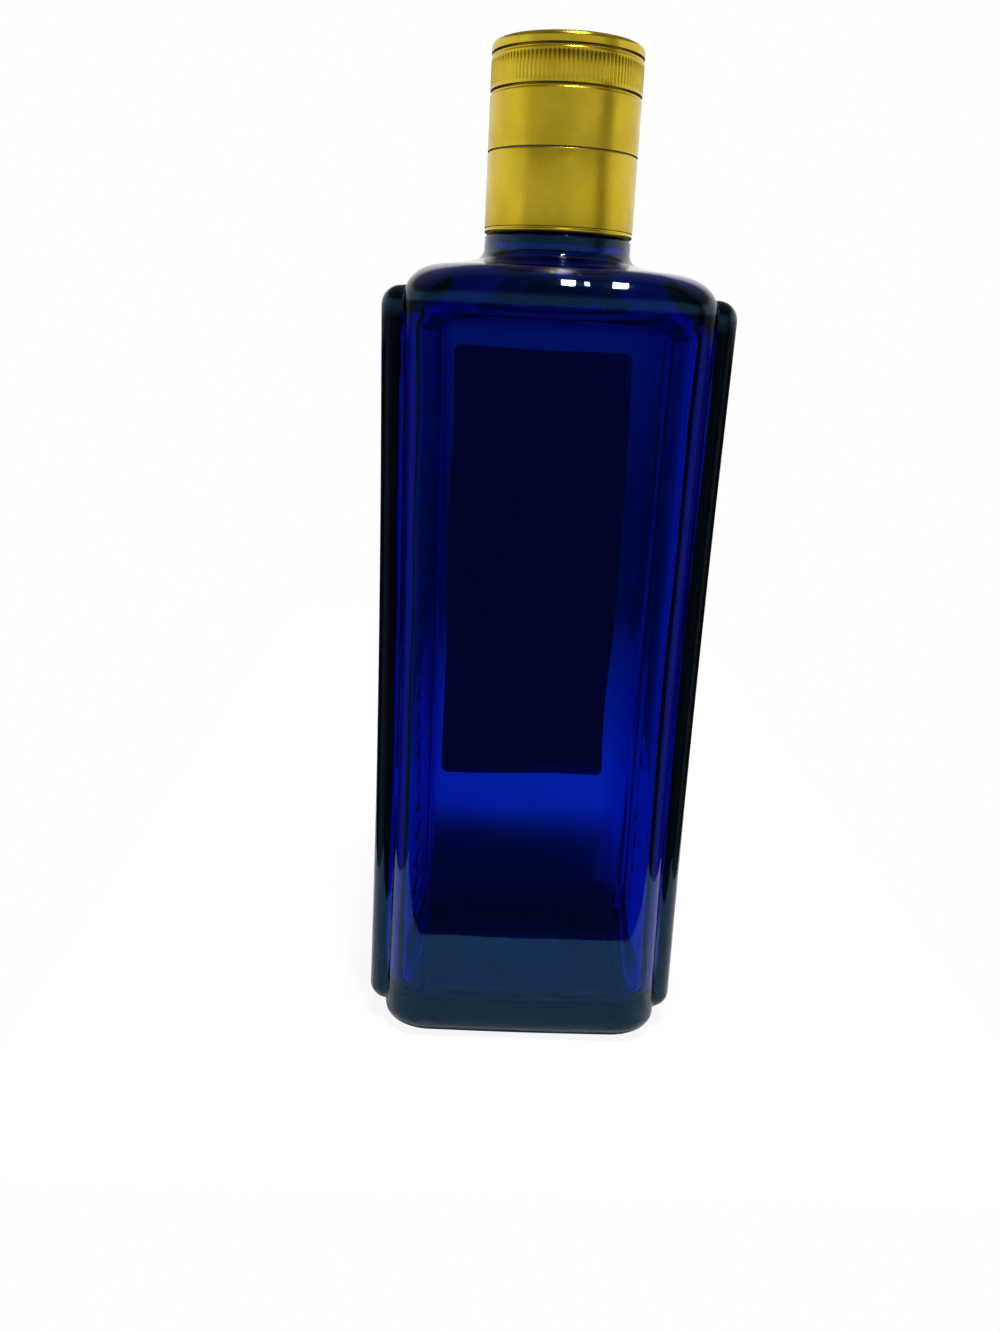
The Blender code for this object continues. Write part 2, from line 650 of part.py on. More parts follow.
def valve_ball(material, parts):
    """The glass ball that weighs the disc down."""
    bm = bmesh.new()
    bmesh.ops.create_uvsphere(bm, u_segments=BALL_SEGMENTS, v_segments=BALL_RINGS, radius=BALL_RADIUS)
    mesh = bpy.data.meshes.new("valve_ball")
    bm.to_mesh(mesh)
    bm.free()
    smooth(mesh)
    ball = new_object("valve_ball", mesh, material, parts)
    ball.location = (0, 0, BALL_Z)
    return ball


def deflector(material, collection):
    """The deflector disc in the middle of the spout."""
    bm = bmesh.new()
    bmesh.ops.create_cone(
        bm,
        cap_ends=True,
        segments=INNER_STEPS // 2,
        radius1=DEFLECTOR_RADIUS,
        radius2=DEFLECTOR_RADIUS,
        depth=DEFLECTOR_THICKNESS,
        matrix=Matrix.Translation((0, 0, DEFLECTOR_Z + DEFLECTOR_THICKNESS / 2)),
    )
    mesh = bpy.data.meshes.new("deflector_guide")
    bm.to_mesh(mesh)
    bm.free()
    return guide(new_object("deflector_guide", mesh, material, collection))


def deflector_arm(name, turn, material, collection):
    """One bar across the spout that carries the deflector, sunk into the wall at both ends."""
    bm = bmesh.new()
    bmesh.ops.create_cube(bm, size=1)
    length = 2 * (SPOUT_RADIUS - SPOUT_WALL / 2)
    thickness = DEFLECTOR_THICKNESS + SINK
    bmesh.ops.scale(bm, vec=(length, ARM_WIDTH, thickness), verts=bm.verts)
    bmesh.ops.translate(bm, vec=(0, 0, DEFLECTOR_Z + SINK / 2 + thickness / 2), verts=bm.verts)
    bmesh.ops.rotate(bm, cent=(0, 0, 0), matrix=Matrix.Rotation(turn, 3, "Z"), verts=bm.verts)
    mesh = bpy.data.meshes.new(name)
    bm.to_mesh(mesh)
    bm.free()
    return guide(new_object(name, mesh, material, collection))


def pour_spout(material, parts, guides):
    """The spout insert: a lip on the threaded tube, and a deflector on two crossed bars that holds the ball in."""
    profile = [
        (THREAD_CORE, SPOUT_TOP_Z),
        (THREAD_CORE, SPOUT_LIP_Z),
        (SPOUT_RADIUS, SPOUT_LIP_Z),
        (SPOUT_RADIUS, SPOUT_Z),
        (SPOUT_RADIUS - SPOUT_WALL, SPOUT_Z),
        (SPOUT_RADIUS - SPOUT_WALL, SPOUT_TOP_Z),
    ]
    spout = turned("pour_spout", profile, INNER_STEPS, material, parts)
    join(spout, deflector_arm("first_arm_guide", 0, material, guides))
    join(spout, deflector_arm("second_arm_guide", pi / 2, material, guides))
    join(spout, deflector(material, guides))
    return spout


def front_label(material, parts):
    """The blank label: a thin sheet that follows the waist of the far wall."""
    bm = bmesh.new()
    bmesh.ops.create_grid(bm, x_segments=1, y_segments=WALL_STEPS, size=0.5)
    bmesh.ops.scale(bm, vec=(LABEL_WIDTH, LABEL_HEIGHT, 1), verts=bm.verts)
    bmesh.ops.rotate(bm, cent=(0, 0, 0), matrix=Matrix.Rotation(pi / 2, 3, "X"), verts=bm.verts)
    bmesh.ops.translate(bm, vec=(0, 0, LABEL_START + LABEL_HEIGHT / 2), verts=bm.verts)
    for vert in bm.verts:
        vert.co.y = HALF_WIDTH - waist_at(vert.co.z) + CLEARANCE
    bmesh.ops.reverse_faces(bm, faces=bm.faces)
    mesh = bpy.data.meshes.new("front_label")
    bm.to_mesh(mesh)
    bm.free()
    label = new_object("front_label", mesh, material, parts)
    sheet = label.modifiers.new("paper", "SOLIDIFY")
    sheet.thickness = LABEL_THICKNESS
    sheet.offset = 1
    return label


def build():
    """Clears the scene and makes every piece."""
    for old in list(bpy.data.objects):
        bpy.data.objects.remove(old, do_unlink=True)
    parts = bpy.data.collections.new("spirit_bottle")
    guides = bpy.data.collections.new("spirit_bottle_guides")
    for collection in (parts, guides):
        bpy.context.scene.collection.children.link(collection)

    cobalt_glass = finish("cobalt_glass", (0.005, 0.02, 0.35), 0.05, transmission=0.9)
    clear_glass = finish("clear_glass", (0.85, 0.9, 0.92), 0.05, transmission=0.9)
    gold_aluminium = finish("gold_aluminium", (0.72, 0.52, 0.06), 0.25, metallic=1.0)
    white_plastic = finish("white_plastic", (0.82, 0.81, 0.78), 0.4)
    natural_plastic = finish("natural_plastic", (0.75, 0.76, 0.74), 0.45)
    foam_wad = finish("foam_wad", (0.88, 0.87, 0.83), 0.8)
    label_paper = finish("label_paper", (0.8, 0.77, 0.68), 0.6)

    glass_bottle(cobalt_glass, parts, guides)
    front_label(label_paper, parts)
    lower_sleeve(gold_aluminium, parts)
    cap_shell(gold_aluminium, parts)
    cap_insert(white_plastic, parts, guides)
    cap_liner(foam_wad, parts)
    mouth_gasket(foam_wad, parts)
    pourer_body(natural_plastic, parts, guides)
    pour_spout(natural_plastic, parts, guides)
    valve_housing(natural_plastic, parts)
    valve_disc(white_plastic, parts)
    valve_ball(clear_glass, parts)


build()
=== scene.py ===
"""The looks of a square cobalt-blue spirit bottle with a long gold closure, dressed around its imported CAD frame.

The bottle stands on z = 0 with its axis on +Z. The bare front face looks along -Y, the labelled face along +Y
and the raised side panels along -X and +X. All lengths are in metres.
"""

from math import atan2, copysign, cos, pi, radians, sin, sqrt, tan

import bmesh
import bpy
from mathutils import Matrix, Vector, noise


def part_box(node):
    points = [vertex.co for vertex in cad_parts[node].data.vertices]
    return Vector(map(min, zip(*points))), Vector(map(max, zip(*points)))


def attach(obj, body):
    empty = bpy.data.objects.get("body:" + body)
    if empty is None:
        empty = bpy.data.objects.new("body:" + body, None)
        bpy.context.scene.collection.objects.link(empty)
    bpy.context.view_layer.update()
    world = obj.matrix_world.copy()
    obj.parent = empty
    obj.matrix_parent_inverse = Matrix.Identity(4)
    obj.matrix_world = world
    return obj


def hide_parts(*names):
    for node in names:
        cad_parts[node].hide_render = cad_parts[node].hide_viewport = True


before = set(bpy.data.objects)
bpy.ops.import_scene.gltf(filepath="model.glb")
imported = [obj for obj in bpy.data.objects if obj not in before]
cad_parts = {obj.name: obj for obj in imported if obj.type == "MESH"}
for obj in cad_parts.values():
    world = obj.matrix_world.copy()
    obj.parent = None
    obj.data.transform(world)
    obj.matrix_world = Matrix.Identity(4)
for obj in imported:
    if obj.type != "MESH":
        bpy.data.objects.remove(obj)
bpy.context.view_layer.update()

# Camera, fitted to the photograph
CAMERA_PLACE = (-0.0180, -0.30253, 0.17969)
CAMERA_YAW = radians(-1.75)
CAMERA_PITCH = radians(16.32)
CAMERA_ROLL = radians(2.87)
CAMERA_LENS = 31.95
SENSOR_WIDTH = 36
NEAREST_SEEN = 0.01

# Glass body, as in the CAD
HALF_WIDTH = 0.0353
BODY_CORNER = 0.0090
WALL_TOP = 0.1831
WAIST = 0.0007
GLASS_WALL = 0.0032
HEEL_RADIUS = 0.0063
HEEL_ROUNDNESS_SHARE = 0.1
BEARING_WIDTH = 0.0040
PUSH_UP_HEIGHT = 0.0025
PUSH_UP_RADIUS = 0.0120
BASE_THICKNESS = 0.0075
INNER_CORNER = 0.0083
INNER_HEEL_RADIUS = 0.0075
INNER_SHOULDER_RADIUS = 0.0130
SHOULDER_RADIUS = 0.0086
SHOULDER_SLOPE = radians(11.5)
SHOULDER_POWER = 2.8
CORNER_GROWTH_SHARE = 1.2
# Waves of the blown inside
RIPPLE_HEIGHT = 0.0003
RIPPLE_LENGTH = 0.022

# Raised side panels, the hollows behind them and the lozenges on them
PANEL_HALF_DEPTH = 0.0289
PANEL_PROUD = 0.0043
PANEL_FLARE = 0.0006
PANEL_START = 0.0060
PANEL_TOP = 0.1862
PANEL_EDGE = 0.0045
PANEL_FILLET = 0.0005
HOLLOW_WALL = 0.0038
HOLLOW_EDGE = 0.0060
HOLLOW_START = 0.0130
HOLLOW_TOP = 0.1815
HOLLOW_FILLET = 0.0020
LOZENGE_COUNT = 10
LOZENGE_FIRST = 0.0190
LOZENGE_PITCH = 0.0080
LOZENGE_REACH = 0.0030
LOZENGE_SLANT = 0.0008
LOZENGE_PROUD = 0.0007

# Neck and glass finish
NECK_RADIUS = 0.0176
NECK_FILLET = 0.0030
NECK_EDGE = 0.0006
NECK_WALL = 0.0046
FINISH_RADIUS = 0.0146
BEAD_PROUD = 0.0011
BEAD_START = 0.0060
BEAD_HEIGHT = 0.0030
BORE_RADIUS = 0.0105
BORE_LENGTH = 0.0160
BORE_TAPER = 0.0030
LIP_EDGE = 0.0008
LEDGE_Z = 0.19898
LIP_Z = 0.21598

# Gold closure
SHEET = 0.0005
CURL_REACH = 0.0018
ROLLED_EDGE = 0.0006
ROLLED_NECK_START_SHARE = 2.1
ROLLED_NECK_END_SHARE = 2.4
CAP_EDGE = 0.0012
GROOVE_DEPTH = 0.0004
GROOVE_WIDTH = 0.0012
GROOVE_DROP = 0.0030
GROOVE_FLANK_DEPTH_SHARE = 0.7
GROOVE_FLANK_WIDTH_SHARE = 0.6
KNURL_HEIGHT = 0.0080
KNURL_COUNT = 110
KNURL_DEPTH = 0.00022
TOP_RING_RADIUS = 0.0120
TOP_RING_WIDTH = 0.0010
TOP_RING_DEPTH = 0.0002

# Label
LABEL_CORNER = 0.0025
LABEL_GAP = 0.0003
LABEL_THICKNESS = 0.0002
# Its printed lines: how far in from the edge, how wide, and the ink
LABEL_LINES = ((0.0030, 0.0009, "#1D2F6E"), (0.0046, 0.0003, "#A98A2C"))

# How finely shapes are drawn
PUSH_UP_STEPS = 6
HEEL_STEPS = 14
PANEL_END_STEPS = 10
HOLLOW_END_STEPS = 16
ROLL_STEPS = 18
SLOPE_STEPS = 6
FILLET_STEPS = 8
WALL_SPACING = 0.0045
LOZENGE_ROW = 0.0006
LOZENGE_COLUMNS = 6
CORNER_DIRECTIONS = 30
FLAT_DIRECTIONS = 5
TURNED_STEPS = 160
EDGE_STEPS = 6
KNURL_STEPS = 4
LABEL_ROWS = 32
SHARP_ANGLE = radians(38)
MERGE_DISTANCE = 0.00001
LEVEL_GAP = 0.00004

# Finishes: sizes of patches and grain, and how far the surface is raised
# The gold's and the plastic's grain and the foam's cells are coarser than real ones, which are too fine to show
GLASS_INDEX = 1.52
GLASS_DENSITY = 1206.0
GLASS_WAVE = 0.016
GLASS_WAVE_RELIEF = 0.00004
BALL_PATCH = 0.002
GOLD_PATCH = 0.009
GOLD_SCUFF = 0.006
GOLD_GRAIN = 0.0006
GOLD_GRAIN_SHARE = 0.06
GOLD_RELIEF = 0.00001
PLASTIC_INDEX = 1.5
PLASTIC_PATCH = 0.004
PLASTIC_GRAIN = 0.0004
PLASTIC_RELIEF = 0.00001
FOAM_CELL = 0.0003
FOAM_RELIEF = 0.00006
PAPER_FIBRE = 0.0012
PAPER_RELIEF = 0.00002
GLOSS_PATCHES = {"From Min": 0.35, "From Max": 0.65}

# Room: the brightness of the wall at bearings from the front, in degrees
WALL_LEVELS = (
    (-180, 1.0),
    (-68, 1.0),
    (-56, 0.62),
    (0, 0.62),
    (20, 0.75),
    (48, 0.72),
    (60, 0.3),
    (68, 0.3),
    (80, 1.0),
    (180, 1.0),
)
# Room: how the light changes with a unit direction's east, north or up part
BACK_LIGHT = {"From Min": -0.1, "From Max": 0.3, "To Min": 0.0, "To Max": 1.0}
SIDE_LIGHT = {"From Min": 0.3, "From Max": 0.9, "To Min": 0.08, "To Max": 0.2}
FRONT_SHARE = {"From Min": 0.0, "From Max": 0.3, "To Min": 1.0, "To Max": 0.1}
LOW_FRONT = {"From Min": 0.0, "From Max": 0.08, "To Max": 1.0}
LOW_BACK = {"From Min": -0.04, "From Max": 0.08, "To Max": 1.0}
CEILING_SHARE = {"From Min": 0.42, "From Max": 0.58, "To Min": 1.0, "To Max": 0.2}
# The same for what is seen through the glass
FAR_LIGHT = {"From Min": -0.15, "From Max": 0.0, "To Min": 0.1, "To Max": 0.26}
FAR_SIDE_LIGHT = {"From Min": 0.3, "From Max": 0.7, "To Min": 0.0, "To Max": 0.9}

# Table top, and the darker field painted on it as the bottle's shadow
TABLE_HALF_WIDTH = 0.13
TABLE_FRONT = -0.092
TABLE_BACK = 0.6
TABLE_FADE = {"From Min": 0.12, "From Max": 0.45, "To Min": 0.0, "To Max": 1.0}
TABLE_WHITE = 1.1
TABLE_WHITE_SHARE = 0.82
TABLE_TONE = 0.7
SHADOW_TONE = 0.22
SHADOW_CENTRE = 0.045
SHADOW_ACROSS = {"From Min": 0.036, "From Max": 0.056, "To Min": SHADOW_TONE, "To Max": TABLE_TONE}
SHADOW_ALONG = {"From Min": 0.04, "From Max": 0.083, "To Min": SHADOW_TONE, "To Max": TABLE_TONE}

# Lamps: name, place, width, depth, power in watts, and whether the outer gloss mirrors it
LAMP_TARGET_Z = 0.1
LAMPS = (
    ("left_tube", (0.074, -0.36, 1.164), 0.015, 0.34, 5, True),
    ("right_tube", (0.129, -0.36, 1.164), 0.015, 0.34, 5, True),
    ("middle_tube", (0.094, -0.36, 1.164), 0.005, 0.26, 0.5, True),
    ("ceiling_panel", (-0.03, -0.36, 1.18), 0.1, 0.1, 7.5, False),
)

# Sizes that follow from the ones above
ROLL_ANGLE = pi / 2 - SHOULDER_SLOPE
ROLL_CENTRE = HALF_WIDTH - SHOULDER_RADIUS
ROLL_END = ROLL_CENTRE + SHOULDER_RADIUS * cos(ROLL_ANGLE)
ROLL_END_Z = WALL_TOP + SHOULDER_RADIUS * sin(ROLL_ANGLE)
FILLET_CENTRE = NECK_RADIUS + NECK_FILLET
FILLET_START = FILLET_CENTRE - NECK_FILLET * sin(SHOULDER_SLOPE)
FILLET_START_Z = ROLL_END_Z + (ROLL_END - FILLET_START) * tan(SHOULDER_SLOPE)
FILLET_TOP_Z = FILLET_START_Z + NECK_FILLET * cos(SHOULDER_SLOPE)
INNER_NECK_RADIUS = NECK_RADIUS - NECK_WALL
BORE_END_Z = LIP_Z - BORE_LENGTH
INNER_HALF = HALF_WIDTH - GLASS_WALL
SHOULDER_FILL = INNER_SHOULDER_RADIUS - (SHOULDER_RADIUS - GLASS_WALL)
INNER_WALL_TOP = WALL_TOP - SHOULDER_FILL * (1 - cos(ROLL_ANGLE)) / sin(ROLL_ANGLE)


def colour(hex_code):
    """An sRGB hex code as a linear colour."""
    channels = [int(hex_code[start : start + 2], 16) / 255 for start in (1, 3, 5)]
    return (*[value / 12.92 if value <= 0.04045 else ((value + 0.055) / 1.055) ** 2.4 for value in channels], 1)


def node(tree, kind, inputs, **settings):
    """Adds a node; each input is given its value, the socket that feeds it, or a node whose first output does."""
    made = tree.nodes.new(kind)
    for name, value in settings.items():
        setattr(made, name, value)
    for name, value in inputs.items():
        if isinstance(value, bpy.types.Node):
            value = value.outputs[0]
        if isinstance(value, bpy.types.NodeSocket):
            tree.links.new(value, made.inputs[name])
        else:
            made.inputs[name].default_value = value
    return made


def blank(name):
    """A material with no finish yet; returns it with its node tree and the place on the piece, in metres."""
    material = bpy.data.materials.new(name)
    material.use_nodes = True
    tree = material.node_tree
    tree.nodes.clear()
    return material, tree, node(tree, "ShaderNodeTexCoord", {}).outputs["Object"]


def gloss(tree, place, patch, low, high):
    """A roughness that varies between low and high, in patches of about that size."""
    patches = node(tree, "ShaderNodeTexNoise", {"Vector": place, "Scale": 1 / patch, "Detail": 4.0})
    return node(tree, "ShaderNodeMapRange", {"Value": patches, "To Min": low, "To Max": high, **GLOSS_PATCHES})


def cobalt_glass():
    """Moulded cobalt-blue soda-lime glass: clear and glossy, nearly black where it is thick, and a little wavy."""
    material, tree, place = blank("moulded_cobalt_glass")
    waves = node(
        tree, "ShaderNodeTexNoise", {"Vector": place, "Scale": 1 / GLASS_WAVE, "Detail": 1.0, "Roughness": 0.4}
    )
    relief = node(tree, "ShaderNodeBump", {"Height": waves, "Strength": 1.0, "Distance": GLASS_WAVE_RELIEF})
    shader = node(
        tree,
        "ShaderNodeBsdfPrincipled",
        {
            "Base Color": colour("#E8EEFF"),
            "Roughness": 0.015,
            "IOR": GLASS_INDEX,
            "Transmission Weight": 1.0,
            "Specular Tint": colour("#73C4FF"),
            "Normal": relief,
        },
    )
    body = node(tree, "ShaderNodeVolumeAbsorption", {"Color": colour("#58BCF3"), "Density": GLASS_DENSITY})
    node(tree, "ShaderNodeOutputMaterial", {"Surface": shader, "Volume": body})
    return material


def clear_glass():
    """A polished clear glass ball with the faint green of soda-lime glass."""
    material, tree, place = blank("polished_clear_glass")
    shader = node(
        tree,
        "ShaderNodeBsdfPrincipled",
        {
            "Base Color": colour("#F4FAF8"),
            "Roughness": gloss(tree, place, BALL_PATCH, low=0.0, high=0.03),
            "IOR": GLASS_INDEX,
            "Transmission Weight": 1.0,
        },
    )
    node(tree, "ShaderNodeOutputMaterial", {"Surface": shader})
    return material


def gold_lacquer():
    """Gold-lacquered rolled aluminium: satin, with a faint upright rolling grain, light scuffs and duller patches."""
    material, tree, place = blank("gold_lacquered_aluminium")
    patches = node(
        tree, "ShaderNodeTexNoise", {"Vector": place, "Scale": 1 / GOLD_PATCH, "Detail": 5.0, "Roughness": 0.6}
    )
    tint = node(
        tree, "ShaderNodeMix", {"Factor": patches, 6: colour("#C5A61E"), 7: colour("#D7BD36")}, data_type="RGBA"
    )
    upright = node(tree, "ShaderNodeMapping", {"Vector": place, "Scale": (1, 1, GOLD_GRAIN_SHARE)})
    grain = node(tree, "ShaderNodeTexNoise", {"Vector": upright, "Scale": 1 / GOLD_GRAIN, "Detail": 2.0})
    shader = node(
        tree,
        "ShaderNodeBsdfPrincipled",
        {
            "Base Color": tint.outputs[2],
            "Metallic": 1.0,
            "Roughness": gloss(tree, place, GOLD_SCUFF, low=0.2, high=0.32),
            "Normal": node(tree, "ShaderNodeBump", {"Height": grain, "Strength": 1.0, "Distance": GOLD_RELIEF}),
        },
    )
    node(tree, "ShaderNodeOutputMaterial", {"Surface": shader})
    return material


def moulded_plastic(name, hex_code, low, high):
    """Injection-moulded polyethylene: waxy and even, with a soft gloss that varies a little."""
    material, tree, place = blank(name)
    grain = node(tree, "ShaderNodeTexNoise", {"Vector": place, "Scale": 1 / PLASTIC_GRAIN, "Detail": 2.0})
    shader = node(
        tree,
        "ShaderNodeBsdfPrincipled",
        {
            "Base Color": colour(hex_code),
            "Roughness": gloss(tree, place, PLASTIC_PATCH, low, high),
            "IOR": PLASTIC_INDEX,
            "Normal": node(tree, "ShaderNodeBump", {"Height": grain, "Strength": 1.0, "Distance": PLASTIC_RELIEF}),
        },
    )
    node(tree, "ShaderNodeOutputMaterial", {"Surface": shader})
    return material


def foam():
    """Foamed polyethylene wad: matt, with fine open cells."""
    material, tree, place = blank("foamed_polyethylene")
    cells = node(tree, "ShaderNodeTexVoronoi", {"Vector": place, "Scale": 1 / FOAM_CELL})
    relief = node(tree, "ShaderNodeBump", {"Height": cells, "Strength": 1.0, "Distance": FOAM_RELIEF})
    finish = {"Base Color": colour("#F0EDE4"), "Roughness": 0.85, "Normal": relief}
    shader = node(tree, "ShaderNodeBsdfPrincipled", finish)
    node(tree, "ShaderNodeOutputMaterial", {"Surface": shader})
    return material


def label_stock(centre_z, half_width, half_height):
    """Uncoated ivory label paper: matt fibres and, on the outward side, a plain printed frame of two lines."""
    material, tree, place = blank("ivory_label_paper")
    east, _, up = node(tree, "ShaderNodeSeparateXYZ", {"Vector": place}).outputs
    across = node(tree, "ShaderNodeMath", {0: east}, operation="ABSOLUTE")
    beside = node(tree, "ShaderNodeMath", {0: across, 1: half_width}, operation="SUBTRACT")
    lowered = node(tree, "ShaderNodeMath", {0: up, 1: centre_z}, operation="SUBTRACT")
    upward = node(tree, "ShaderNodeMath", {0: lowered}, operation="ABSOLUTE")
    above = node(tree, "ShaderNodeMath", {0: upward, 1: half_height}, operation="SUBTRACT")
    rim = node(tree, "ShaderNodeMath", {0: beside, 1: above}, operation="MAXIMUM")
    normal = node(tree, "ShaderNodeNewGeometry", {}).outputs["True Normal"]
    outward = node(tree, "ShaderNodeSeparateXYZ", {"Vector": normal}).outputs["Y"]
    fibres = node(
        tree, "ShaderNodeTexNoise", {"Vector": place, "Scale": 1 / PAPER_FIBRE, "Detail": 6.0, "Roughness": 0.7}
    )
    paper = node(
        tree, "ShaderNodeMix", {"Factor": fibres, 6: colour("#E6DEC6"), 7: colour("#F2ECDA")}, data_type="RGBA"
    )
    printed = paper.outputs[2]
    for inset, width, ink in LABEL_LINES:
        near = node(tree, "ShaderNodeMath", {0: rim, 1: -inset, 2: width / 2}, operation="COMPARE")
        line = node(tree, "ShaderNodeMath", {0: near, 1: outward}, operation="MULTIPLY", use_clamp=True)
        inked = node(tree, "ShaderNodeMix", {"Factor": line, 6: printed, 7: colour(ink)}, data_type="RGBA")
        printed = inked.outputs[2]
    relief = node(tree, "ShaderNodeBump", {"Height": fibres, "Strength": 1.0, "Distance": PAPER_RELIEF})
    shader = node(tree, "ShaderNodeBsdfPrincipled", {"Base Color": printed, "Roughness": 0.75, "Normal": relief})
    node(tree, "ShaderNodeOutputMaterial", {"Surface": shader})
    return material


def added(name, bm, material):
    """Adds the modelled shape to the scene as an object."""
    mesh = bpy.data.meshes.new(name)
    bm.to_mesh(mesh)
    bm.free()
    mesh.materials.append(material)
    made = bpy.data.objects.new(name, mesh)
    bpy.context.scene.collection.objects.link(made)
    return made


def piece(name, bm, material, body, replaced):
    """Makes the modelled shape the piece that replaces that CAD node, smooth but for its real edges."""
    bmesh.ops.recalc_face_normals(bm, faces=bm.faces)
    made = added(name, bm, material)
    made.data.shade_smooth()
    made.data.set_sharp_from_angle(angle=SHARP_ANGLE)
    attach(made, body)
    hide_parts(replaced)


def eased(share):
    """A share from 0 to 1 that starts and ends gently."""
    return share * share * (3 - 2 * share)


def arc(centre, radius, start, end, steps):
    """Points (across, up) on an arc about centre, both ends included."""
    across, up = centre
    angles = [start + (end - start) * step / steps for step in range(steps + 1)]
    return [(across + radius * cos(angle), up + radius * sin(angle)) for angle in angles]


def waist_at(height):
    """How far a wall bows in at that height."""
    share = (height - HEEL_RADIUS) / (WALL_TOP - HEEL_RADIUS)
    return WAIST * sin(pi * share) if 0 < share < 1 else 0.0


def reach(direction, across, along, corner):
    """How far a rounded rectangle reaches from the axis in that direction."""
    corner = min(corner, across, along)
    run, rise = abs(cos(direction)), abs(sin(direction))
    if across * rise <= (along - corner) * run:
        return across / run
    if along * run <= (across - corner) * rise:
        return along / rise
    middle = Vector((across - corner, along - corner))
    ahead = middle.dot(Vector((run, rise)))
    return ahead + sqrt(max(ahead**2 - middle.length_squared + corner**2, 0))


def slab_at(height, start, top, edge, wall):
    """Half width, half depth and edge radius, at that height, of a slab that lies that far inside both panels."""
    into = min(height - start, top - height)
    if into < 0:
        return None
    inset = edge - sqrt(edge**2 - max(edge - into, 0) ** 2)
    flare = PANEL_FLARE * (height - PANEL_START) / (PANEL_TOP - PANEL_START)
    across = HALF_WIDTH + PANEL_PROUD + flare - waist_at(height) - wall - inset
    return across, PANEL_HALF_DEPTH - wall - inset, edge - inset


def panel_at(height):
    """The slab that both side panels are part of, at that height."""
    return slab_at(height, PANEL_START, PANEL_TOP, PANEL_EDGE, 0)


def hollow_at(height):
    """The slab that the hollows behind both panels are part of, at that height."""
    return slab_at(height, HOLLOW_START, HOLLOW_TOP, HOLLOW_EDGE, HOLLOW_WALL)


def blended(radius, slab, turn, fillet):
    """The greater of that radius and the slab's own reach in that direction, with a fillet where they meet."""
    if not slab:
        return radius
    stand = reach(turn, *slab)
    apart = max(fillet - abs(radius - stand), 0)
    return max(radius, stand) + apart**2 / (4 * fillet)


def lozenge_rise(along, height):
    """How far the nearest lozenge stands out of the panel at that place."""
    row = min(max(round((height - LOZENGE_FIRST) / LOZENGE_PITCH), 0), LOZENGE_COUNT - 1)
    spread = abs(along) + abs(height - LOZENGE_FIRST - row * LOZENGE_PITCH)
    share = min(max((LOZENGE_REACH - spread) / (sqrt(2) * LOZENGE_SLANT), 0), 1)
    return LOZENGE_PROUD * eased(share)


def outline_directions():
    """Directions of the points on each level: close together at the lozenges and where the outline bends."""
    face = HALF_WIDTH + PANEL_PROUD
    columns = [LOZENGE_REACH * step / (LOZENGE_COLUMNS - 1) for step in range(LOZENGE_COLUMNS)]
    panel_flat = PANEL_HALF_DEPTH - PANEL_EDGE
    rest = [LOZENGE_REACH + (panel_flat - LOZENGE_REACH) * step / FLAT_DIRECTIONS for step in range(1, FLAT_DIRECTIONS)]
    quarter = [atan2(along, face) for along in columns + rest]
    bend_start = atan2(panel_flat, face)
    bend_end = atan2(HALF_WIDTH, HALF_WIDTH - BODY_CORNER)
    bend = bend_end - bend_start
    quarter += [bend_start + bend * step / CORNER_DIRECTIONS for step in range(CORNER_DIRECTIONS + 1)]
    body_flat = HALF_WIDTH - BODY_CORNER
    quarter += [atan2(HALF_WIDTH, body_flat * (1 - step / FLAT_DIRECTIONS)) for step in range(1, FLAT_DIRECTIONS + 1)]
    half = quarter + [pi - direction for direction in reversed(quarter[:-1])]
    return half + [pi + direction for direction in half[1:-1]]


DIRECTIONS = outline_directions()


def ring(radius, height):
    """A round level of the glass."""
    return [Vector((radius * cos(turn), radius * sin(turn), height)) for turn in DIRECTIONS]


def outer_level(half, height, roundness, corner=BODY_CORNER):
    """A level of the outside: the body's section, grown by the panels and their lozenges where they are."""
    panel = panel_at(height)
    points = []
    for turn in DIRECTIONS:
        radius = (1 - roundness) * reach(turn, half, half, corner) + roundness * half
        radius = blended(radius, panel, turn, PANEL_FILLET)
        point = Vector((radius * cos(turn), radius * sin(turn), height))
        if panel and abs(point.y) < LOZENGE_REACH:
            point.x += copysign(lozenge_rise(point.y, height), point.x)
        points.append(point)
    return points


def shoulder_level(half, height):
    """A level of the outer shoulder, where the square turns into the circle of the neck."""
    share = (HALF_WIDTH - half) / (HALF_WIDTH - FILLET_START)
    corner = BODY_CORNER + CORNER_GROWTH_SHARE * (HALF_WIDTH - half)
    return outer_level(half, height, share**SHOULDER_POWER, corner)


def wall_heights():
    """Heights at which the walls are drawn, closest at the panels' ends and at the lozenges."""
    quarter = [1 - cos(pi / 2 * step / PANEL_END_STEPS) for step in range(PANEL_END_STEPS + 1)]
    heights = [PANEL_START + PANEL_EDGE * share for share in quarter]
    heights += [PANEL_TOP - PANEL_EDGE * share for share in quarter] + [PANEL_TOP + LEVEL_GAP]
    lowest = LOZENGE_FIRST - LOZENGE_REACH
    highest = LOZENGE_FIRST + (LOZENGE_COUNT - 1) * LOZENGE_PITCH + LOZENGE_REACH
    heights += [lowest + LOZENGE_ROW * step for step in range(round((highest - lowest) / LOZENGE_ROW) + 1)]
    step_count = round((WALL_TOP - highest) / WALL_SPACING)
    heights += [highest + (WALL_TOP - highest) * step / step_count for step in range(1, step_count + 1)]
    return heights


def outer_half(height):
    """Half width of the body at that height, up to the end of the shoulder's roll."""
    if height < HEEL_RADIUS:
        return HALF_WIDTH - HEEL_RADIUS + sqrt(HEEL_RADIUS**2 - (HEEL_RADIUS - height) ** 2)
    if height < WALL_TOP:
        return HALF_WIDTH - waist_at(height)
    return ROLL_CENTRE + sqrt(SHOULDER_RADIUS**2 - (height - WALL_TOP) ** 2)


